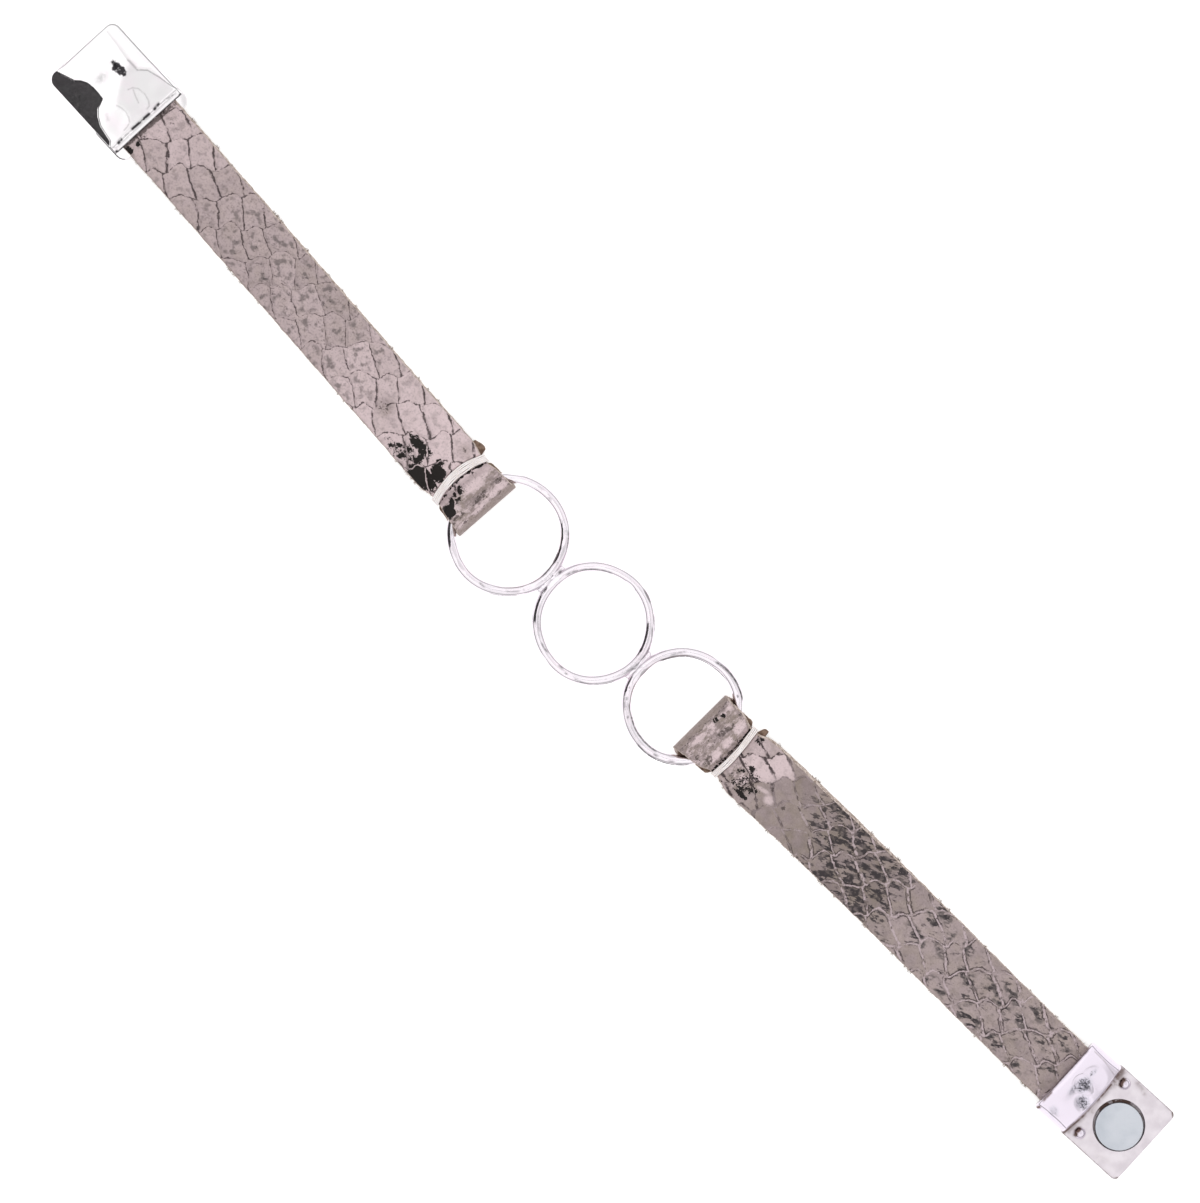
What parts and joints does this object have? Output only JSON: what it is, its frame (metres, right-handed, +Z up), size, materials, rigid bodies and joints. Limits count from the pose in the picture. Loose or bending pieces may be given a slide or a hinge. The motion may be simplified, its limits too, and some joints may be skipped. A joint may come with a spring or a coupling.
{
  "type": "magnetic bracelet",
  "caption": "Bracelet lying open: two flat leather straps with a metallic snake print, soldered hammered silver rings between them and a hammered magnetic clasp in two halves",
  "frame": {"origin": "on the surface that the bracelet lies on, below the middle of its outline", "axes": "+X along the bracelet from the cover half of the clasp to the plate half, +Y across it, +Z up from the surface"},
  "size_m": [0.216, 0.0198, 0.0046],
  "materials": {
    "leather": "foiled snake print on a taupe grain, soft sheen",
    "thread": "wound cream cotton thread",
    "ring_silver": "bright silver plate, lightly hammered",
    "cover_silver": "bright silver plate, hammered",
    "plate_silver": "satin silver plate, hammered cap",
    "magnet": "nickel-plated magnet, satin"
  },
  "bodies": {
    "root": {"left_strap": "leather", "right_strap": "leather", "left_thread_wrap": "thread", "right_thread_wrap": "thread", "ring_trio": "ring_silver", "clasp_cover": "cover_silver", "cover_magnet": "magnet", "clasp_plate": "plate_silver", "plate_magnet": "magnet"}
  },
  "joints": []
}
